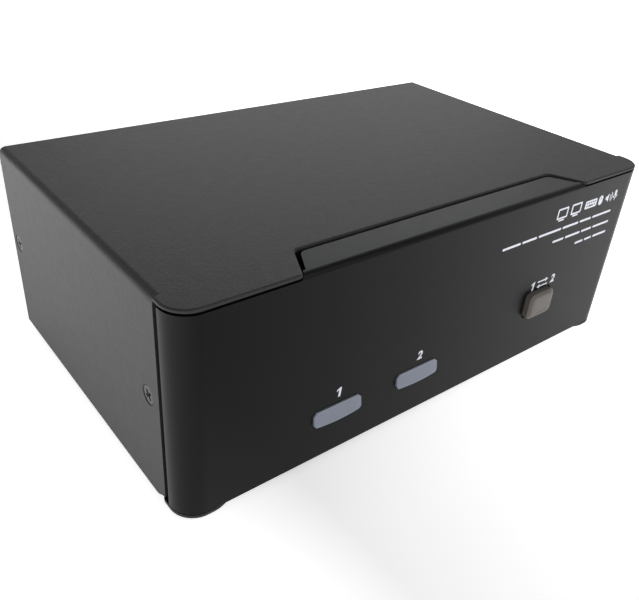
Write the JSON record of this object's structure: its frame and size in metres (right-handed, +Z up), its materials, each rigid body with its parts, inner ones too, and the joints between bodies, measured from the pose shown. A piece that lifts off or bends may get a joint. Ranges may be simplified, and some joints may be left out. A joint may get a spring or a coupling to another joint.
{
  "type": "kvm switch",
  "caption": "Desktop KVM switch: folded black steel cover over a wrap-round bezel with indicator bars and a sprung select button, and rows of video, USB and audio sockets behind.",
  "frame": {"origin": "on the resting plane, under the middle of the whole part", "axes": "+Z up, the front bezel faces -Y, +X to the right when looking at the front"},
  "size_m": [0.2, 0.133, 0.073],
  "materials": {
    "cover_steel": "black powder coat, fine orange-peel texture, satin",
    "pan_steel": "black powder coat, satin",
    "bezel_plastic": "black ABS, very fine texture",
    "smoked_lens": "bluish-grey translucent polycarbonate",
    "button_plastic": "warm grey-brown satin plastic",
    "foot_rubber": "black, matte",
    "black_screw": "black zinc, semi-gloss",
    "zinc_steel": "bright zinc or nickel plate",
    "brass": "turned brass, satin",
    "circuit_board": "green solder mask on glass-epoxy",
    "black_plastic": "black moulded nylon",
    "led_package": "white resin",
    "ribbon": "grey flat cable",
    "insulator_white": "white moulded nylon inside the DVI shells",
    "insulator_blue": "blue moulded nylon inside the VGA shells",
    "ring_pink": "pink moulded plastic round the microphone sockets",
    "ring_green": "lime green moulded plastic round the speaker sockets",
    "gold_contact": "gold-plated contacts",
    "legend_ink": "white pad-printed ink"
  },
  "bodies": {
    "chassis": {"base_pan": "pan_steel", "bezel_screw_1": "zinc_steel", "bezel_screw_2": "zinc_steel", "board_screw_1": "zinc_steel", "board_screw_2": "zinc_steel", "board_screw_3": "zinc_steel", "board_screw_4": "zinc_steel", "board_stacker": "black_plastic", "console_audio_sockets": "black_plastic", "console_dvi_socket": "zinc_steel", "console_usb_sockets": "zinc_steel", "console_vga_socket": "zinc_steel", "cover_screw_1": "black_screw", "cover_screw_2": "black_screw", "cover_screw_3": "black_screw", "cover_screw_4": "black_screw", "foot_1": "foot_rubber", "foot_2": "foot_rubber", "foot_3": "foot_rubber", "foot_4": "foot_rubber", "front_bezel": "bezel_plastic", "front_board": "circuit_board", "front_board_screw_1": "zinc_steel", "front_board_screw_2": "zinc_steel", "hub_chip": "black_plastic", "hub_usb_sockets": "zinc_steel", "indicator_led_1": "led_package", "indicator_led_2": "led_package", "light_pipe_1": "smoked_lens", "light_pipe_2": "smoked_lens", "lower_standoff_1": "brass", "lower_standoff_2": "brass", "lower_standoff_3": "brass", "lower_standoff_4": "brass", "main_board": "circuit_board", "panel_screw_1": "black_screw", "panel_screw_2": "black_screw", "pc1_audio_sockets": "black_plastic", "pc1_dvi_socket": "zinc_steel", "pc1_usb_socket": "zinc_steel", "pc1_vga_socket": "zinc_steel", "pc2_audio_sockets": "black_plastic", "pc2_dvi_socket": "zinc_steel", "pc2_usb_socket": "zinc_steel", "pc2_vga_socket": "zinc_steel", "power_jack": "black_plastic", "rear_panel": "pan_steel", "ribbon_cable": "ribbon", "ribbon_header": "black_plastic", "switch_body": "black_plastic", "switch_chip": "black_plastic", "top_cover": "cover_steel", "upper_standoff_1": "brass", "upper_standoff_2": "brass", "upper_standoff_3": "brass", "upper_standoff_4": "brass", "video_board": "circuit_board"},
    "select_button": {"select_button": "button_plastic", "switch_plunger": "led_package"}
  },
  "joints": [
    {"name": "select_press", "type": "slide", "parent": "chassis", "child": "select_button", "axis": [0, 1, 0], "range_m": [0, 0.0012], "stiffness_N_per_m": 1200, "springref_m": -0.0005}
  ]
}
